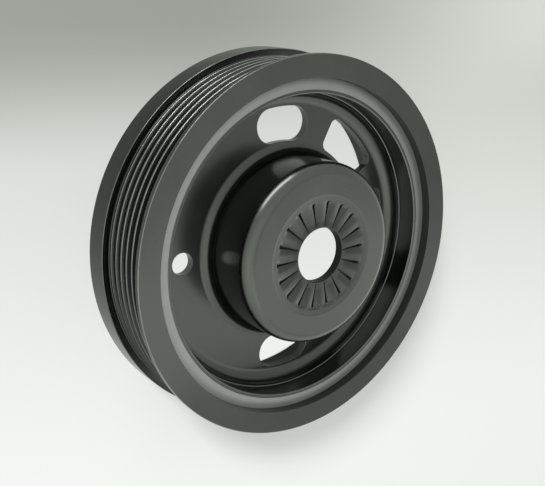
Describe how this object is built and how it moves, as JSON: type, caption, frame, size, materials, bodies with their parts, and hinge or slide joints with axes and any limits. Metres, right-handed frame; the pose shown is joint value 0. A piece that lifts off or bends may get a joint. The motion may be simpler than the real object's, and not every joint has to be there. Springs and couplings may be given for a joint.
{
  "type": "harmonic balancer",
  "caption": "Torsional vibration damper and belt pulley for a crankshaft nose: drawn hub with windows, bonded elastomer ring and ribbed inertia ring.",
  "frame": {"origin": "on the axis, in the plane of the inertia ring's rear face", "axes": "+Z along the axis from the rear face towards the boss's front face; the windows are mirrored about the X axis, with the middle window on +X and the small round hole on -X"},
  "size_m": [0.136, 0.136, 0.0399],
  "materials": {
    "coated_steel": "satin",
    "elastomer": "matte",
    "coated_iron": "satin"
  },
  "bodies": {
    "root": {"hub": "coated_steel", "rubber_ring": "elastomer", "pulley_ring": "coated_iron"}
  },
  "joints": []
}
